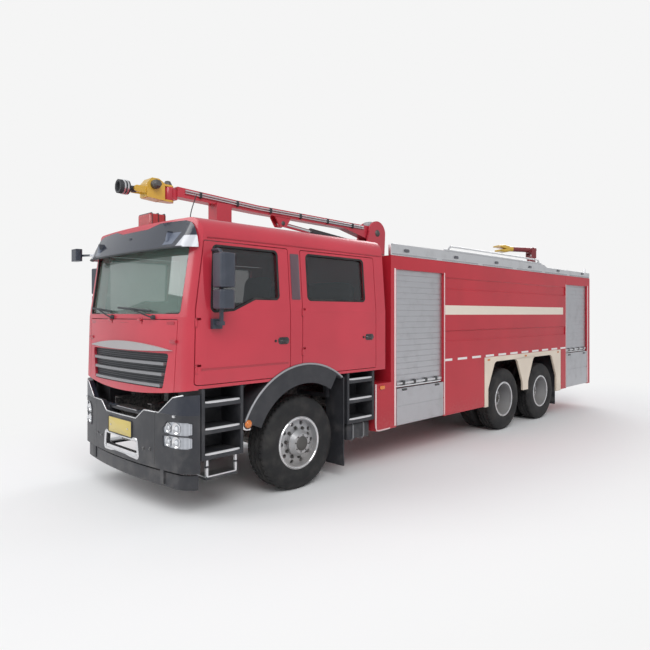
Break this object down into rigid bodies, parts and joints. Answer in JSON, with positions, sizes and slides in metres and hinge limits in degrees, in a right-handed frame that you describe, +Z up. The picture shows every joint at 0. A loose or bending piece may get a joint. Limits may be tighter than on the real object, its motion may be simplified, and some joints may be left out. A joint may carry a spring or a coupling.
{
  "type": "three-axle crew-cab fire truck with a roof boom",
  "caption": "Red fire truck with a crew cab, roller-shuttered equipment body, water tank section, a hydraulic boom with a monitor over the cab and a deck monitor at the rear.",
  "frame": {"origin": "on the ground under the middle of the bounding box", "axes": "+X towards the front, +Y towards the vehicle's left side, +Z up"},
  "size_m": [9.9, 3.0114, 3.558],
  "materials": {
    "red_paint": "gloss",
    "cream_paint": "gloss",
    "black_plastic": "matte",
    "black_steel": "satin",
    "chassis_grey": "satin",
    "aluminium": "satin",
    "wheel_silver": "polished",
    "tyre": "matte",
    "glass": "clear",
    "lamp_clear": "clear",
    "lamp_red": "gloss",
    "smoke_panel": "gloss",
    "yellow_paint": "gloss",
    "cast_iron": "rough",
    "bright_steel": "polished",
    "seat_cloth": "matte"
  },
  "bodies": {
    "chassis": {"frame_rails": "chassis_grey", "axles": "black_steel", "engine_block": "cast_iron", "cab_shell": "red_paint", "cab_roof": "red_paint", "windscreen": "glass", "sun_visor": "smoke_panel", "front_bumper": "black_plastic", "headlamps": "lamp_clear", "fenders": "black_plastic", "cab_steps": "black_plastic", "dashboard": "black_plastic", "seats": "seat_cloth", "boom_rest": "black_steel", "red_lamps": "lamp_red", "lockers": "red_paint", "tank_body": "red_paint", "arch_panels": "cream_paint", "roof_coaming": "aluminium", "roller_shutters": "aluminium", "rear_ladder": "aluminium"},
    "hood": {"hood_flap": "red_paint", "grille": "black_plastic"},
    "turret": {"boom_turret": "chassis_grey"},
    "boom": {"boom_arm": "red_paint"},
    "ram_barrel": {"lift_barrel": "red_paint"},
    "ram_rod": {"lift_rod": "bright_steel"},
    "monitor": {"boom_monitor": "yellow_paint"},
    "nozzle": {"boom_nozzle": "black_steel"},
    "deck_swivel": {"deck_monitor_base": "red_paint"},
    "deck_barrel": {"deck_monitor_barrel": "red_paint"},
    "door_front_left": {"front_door_left": "red_paint", "front_pane_left": "glass", "door_mirror_left": "black_plastic"},
    "door_rear_left": {"rear_door_left": "red_paint", "rear_pane_left": "glass"},
    "step_front_left": {"front_flap_left": "aluminium"},
    "step_rear_left": {"rear_flap_left": "aluminium"},
    "steer_left": {"knuckle_left": "cast_iron"},
    "wheel_front_left": {"front_tyre_left": "tyre", "front_rim_left": "wheel_silver"},
    "wheel_mid_left": {"mid_tyres_left": "tyre", "mid_rims_left": "wheel_silver"},
    "wheel_rear_left": {"rear_tyres_left": "tyre", "rear_rims_left": "wheel_silver"},
    "door_front_right": {"front_door_right": "red_paint", "front_pane_right": "glass", "door_mirror_right": "black_plastic"},
    "door_rear_right": {"rear_door_right": "red_paint", "rear_pane_right": "glass"},
    "step_front_right": {"front_flap_right": "aluminium"},
    "step_rear_right": {"rear_flap_right": "aluminium"},
    "steer_right": {"knuckle_right": "cast_iron"},
    "wheel_front_right": {"front_tyre_right": "tyre", "front_rim_right": "wheel_silver"},
    "wheel_mid_right": {"mid_tyres_right": "tyre", "mid_rims_right": "wheel_silver"},
    "wheel_rear_right": {"rear_tyres_right": "tyre", "rear_rims_right": "wheel_silver"}
  },
  "joints": [
    {"name": "steer_left", "type": "hinge", "parent": "chassis", "child": "steer_left", "pos_m": [3.39, 0.86, 0.525], "axis": [0, 0, 1], "range_deg": [-35, 35]},
    {"name": "spin_front_left", "type": "hinge", "parent": "steer_left", "child": "wheel_front_left", "pos_m": [3.39, 1.015, 0.525], "axis": [0, 1, 0], "continuous": true},
    {"name": "spin_mid_left", "type": "hinge", "parent": "chassis", "child": "wheel_mid_left", "pos_m": [-1.21, 1.07, 0.525], "axis": [0, 1, 0], "continuous": true},
    {"name": "spin_rear_left", "type": "hinge", "parent": "chassis", "child": "wheel_rear_left", "pos_m": [-2.61, 1.07, 0.525], "axis": [0, 1, 0], "continuous": true},
    {"name": "door_front_left", "type": "hinge", "parent": "chassis", "child": "door_front_left", "pos_m": [4.732, 1.212, 1.45], "axis": [0, 0, -1], "range_deg": [0, 75]},
    {"name": "door_rear_left", "type": "hinge", "parent": "chassis", "child": "door_rear_left", "pos_m": [3.412, 1.245, 1.5], "axis": [0, 0, -1], "range_deg": [0, 75]},
    {"name": "step_front_left", "type": "hinge", "parent": "chassis", "child": "step_front_left", "pos_m": [1.2175, 1.236, 0.506], "axis": [-1, 0, 0], "range_deg": [0, 90]},
    {"name": "step_rear_left", "type": "hinge", "parent": "chassis", "child": "step_rear_left", "pos_m": [-4.2125, 1.236, 0.506], "axis": [-1, 0, 0], "range_deg": [0, 90]},
    {"name": "steer_right", "type": "hinge", "parent": "chassis", "child": "steer_right", "pos_m": [3.39, -0.86, 0.525], "axis": [0, 0, 1], "range_deg": [-35, 35]},
    {"name": "spin_front_right", "type": "hinge", "parent": "steer_right", "child": "wheel_front_right", "pos_m": [3.39, -1.015, 0.525], "axis": [0, 1, 0], "continuous": true},
    {"name": "spin_mid_right", "type": "hinge", "parent": "chassis", "child": "wheel_mid_right", "pos_m": [-1.21, -1.07, 0.525], "axis": [0, 1, 0], "continuous": true},
    {"name": "spin_rear_right", "type": "hinge", "parent": "chassis", "child": "wheel_rear_right", "pos_m": [-2.61, -1.07, 0.525], "axis": [0, 1, 0], "continuous": true},
    {"name": "door_front_right", "type": "hinge", "parent": "chassis", "child": "door_front_right", "pos_m": [4.732, -1.212, 1.45], "axis": [0, 0, 1], "range_deg": [0, 75]},
    {"name": "door_rear_right", "type": "hinge", "parent": "chassis", "child": "door_rear_right", "pos_m": [3.412, -1.245, 1.5], "axis": [0, 0, 1], "range_deg": [0, 75]},
    {"name": "step_front_right", "type": "hinge", "parent": "chassis", "child": "step_front_right", "pos_m": [1.2175, -1.236, 0.506], "axis": [1, 0, 0], "range_deg": [0, 90]},
    {"name": "step_rear_right", "type": "hinge", "parent": "chassis", "child": "step_rear_right", "pos_m": [-4.2125, -1.236, 0.506], "axis": [1, 0, 0], "range_deg": [0, 90]},
    {"name": "hood_lift", "type": "hinge", "parent": "chassis", "child": "hood", "pos_m": [4.881, 0, 1.932], "axis": [0, -1, 0], "range_deg": [0, 75]},
    {"name": "boom_swivel", "type": "hinge", "parent": "chassis", "child": "turret", "pos_m": [0.87, 0, 3.27], "axis": [0, 0, 1], "range_deg": [-90, 90]},
    {"name": "boom_lift", "type": "hinge", "parent": "turret", "child": "boom", "pos_m": [0.87, 0, 3.27], "axis": [0, -1, 0], "range_deg": [0, 60]},
    {"name": "ram_tilt", "type": "hinge", "parent": "turret", "child": "ram_barrel", "pos_m": [1.05, 0, 3.05], "axis": [0, -1, 0], "range_deg": [0, 61.5]},
    {"name": "ram_stroke", "type": "slide", "parent": "ram_barrel", "child": "ram_rod", "axis": [0.9952, 0, 0.0977], "range_m": [0, 0.2888]},
    {"name": "monitor_sweep", "type": "hinge", "parent": "boom", "child": "monitor", "pos_m": [4.375, 0, 3.365], "axis": [0, 0, 1], "range_deg": [-90, 90]},
    {"name": "nozzle_pitch", "type": "hinge", "parent": "monitor", "child": "nozzle", "pos_m": [4.765, 0, 3.365], "axis": [0, -1, 0], "range_deg": [-60, 45]},
    {"name": "deck_sweep", "type": "hinge", "parent": "chassis", "child": "deck_swivel", "pos_m": [-4.64, 0, 3], "axis": [0, 0, 1], "range_deg": [-150, 150]},
    {"name": "deck_pitch", "type": "hinge", "parent": "deck_swivel", "child": "deck_barrel", "pos_m": [-4.64, 0, 3.44], "axis": [-0.4695, -0.8829, 0], "range_deg": [-15, 75]}
  ],
  "couplings": [
    {"joint": "steer_right", "follows": "steer_left", "ratio": 1},
    {"joint": "ram_tilt", "follows": "boom_lift", "ratio": 1.0088},
    {"joint": "ram_stroke", "follows": "boom_lift", "m_per_rad": 0.27096}
  ]
}
